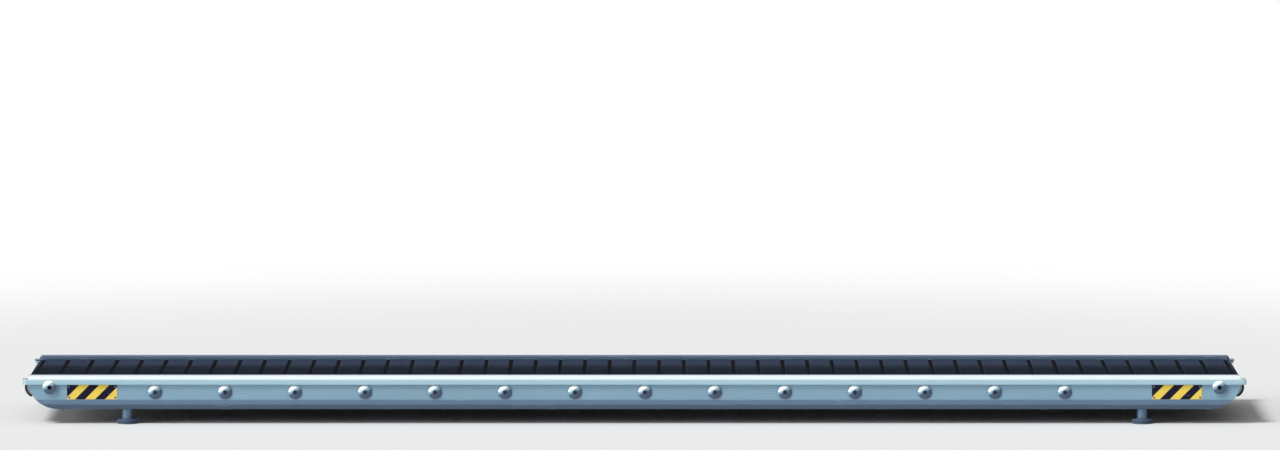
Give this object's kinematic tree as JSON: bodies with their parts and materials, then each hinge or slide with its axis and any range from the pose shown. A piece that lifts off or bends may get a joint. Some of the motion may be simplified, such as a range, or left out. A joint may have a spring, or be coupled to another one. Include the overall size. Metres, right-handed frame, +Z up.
{
  "type": "baggage belt conveyor",
  "caption": "Low baggage belt conveyor: an endless ribbed belt slides over a sheet bed between capped steel rails and turns round end drums; it stands on clamped feet.",
  "frame": {"origin": "on the floor, under the middle of the conveyor", "axes": "+X along the belt to the drive end, +Y to the rear rail, +Z up"},
  "size_m": [6, 1.12, 0.2405],
  "materials": {
    "belt_rubber": "matt moulded rubber",
    "bed_steel": "galvanised sheet",
    "frame_steel": "powder coat, satin",
    "rail_paint": "powder coat, semi-gloss",
    "drum_steel": "turned, oiled",
    "zinc_steel": "zinc plated",
    "capping_alloy": "satin anodised",
    "capping_stainless": "polished",
    "strip_rubber": "matt",
    "warning_paint": "gloss enamel",
    "box_enamel": "satin enamel",
    "gland_plastic": "moulded"
  },
  "bodies": {
    "frame": {"belt": "belt_rubber", "slider_bed": "bed_steel", "cross_members": "frame_steel", "end_ties": "rail_paint", "leg_beams": "frame_steel", "leg_clamps": "frame_steel", "drum_motor": "drum_steel", "drive_axle": "zinc_steel", "drive_bearing_plates": "rail_paint", "tail_axle": "zinc_steel", "tail_bearing_plates": "rail_paint", "take_up_screws": "zinc_steel", "return_rollers": "zinc_steel", "roller_axles": "drum_steel", "roller_brackets": "rail_paint", "terminal_box": "box_enamel", "terminal_lid": "box_enamel", "cable_gland": "gland_plastic", "rail_front": "rail_paint", "capping_base_front": "capping_alloy", "capping_cover_front": "capping_stainless", "edge_strip_front": "strip_rubber", "warning_plates_front": "warning_paint", "rail_rear": "rail_paint", "capping_base_rear": "capping_alloy", "capping_cover_rear": "capping_stainless", "edge_strip_rear": "strip_rubber", "warning_plates_rear": "warning_paint"},
    "drive_drum": {"drive_drum": "drum_steel"},
    "tail_drum": {"tail_drum": "drum_steel"},
    "foot_front_left": {"foot_tube_front_left": "zinc_steel", "foot_plate_front_left": "frame_steel", "foot_pad_front_left": "strip_rubber"},
    "foot_front_right": {"foot_tube_front_right": "zinc_steel", "foot_plate_front_right": "frame_steel", "foot_pad_front_right": "strip_rubber"},
    "foot_rear_left": {"foot_tube_rear_left": "zinc_steel", "foot_plate_rear_left": "frame_steel", "foot_pad_rear_left": "strip_rubber"},
    "foot_rear_right": {"foot_tube_rear_right": "zinc_steel", "foot_plate_rear_right": "frame_steel", "foot_pad_rear_right": "strip_rubber"}
  },
  "joints": [
    {"name": "drive_drum_spin", "type": "hinge", "parent": "frame", "child": "drive_drum", "pos_m": [2.943, 0, 0.174], "axis": [0, 1, 0], "continuous": true},
    {"name": "tail_drum_spin", "type": "hinge", "parent": "frame", "child": "tail_drum", "pos_m": [-2.943, 0, 0.174], "axis": [0, 1, 0], "continuous": true},
    {"name": "foot_slide_front_left", "type": "slide", "parent": "frame", "child": "foot_front_left", "axis": [0, 0, 1], "range_m": [0, 0.035]},
    {"name": "foot_slide_front_right", "type": "slide", "parent": "frame", "child": "foot_front_right", "axis": [0, 0, 1], "range_m": [0, 0.035]},
    {"name": "foot_slide_rear_left", "type": "slide", "parent": "frame", "child": "foot_rear_left", "axis": [0, 0, 1], "range_m": [0, 0.035]},
    {"name": "foot_slide_rear_right", "type": "slide", "parent": "frame", "child": "foot_rear_right", "axis": [0, 0, 1], "range_m": [0, 0.035]}
  ],
  "couplings": [
    {"joint": "tail_drum_spin", "follows": "drive_drum_spin", "ratio": 1}
  ]
}
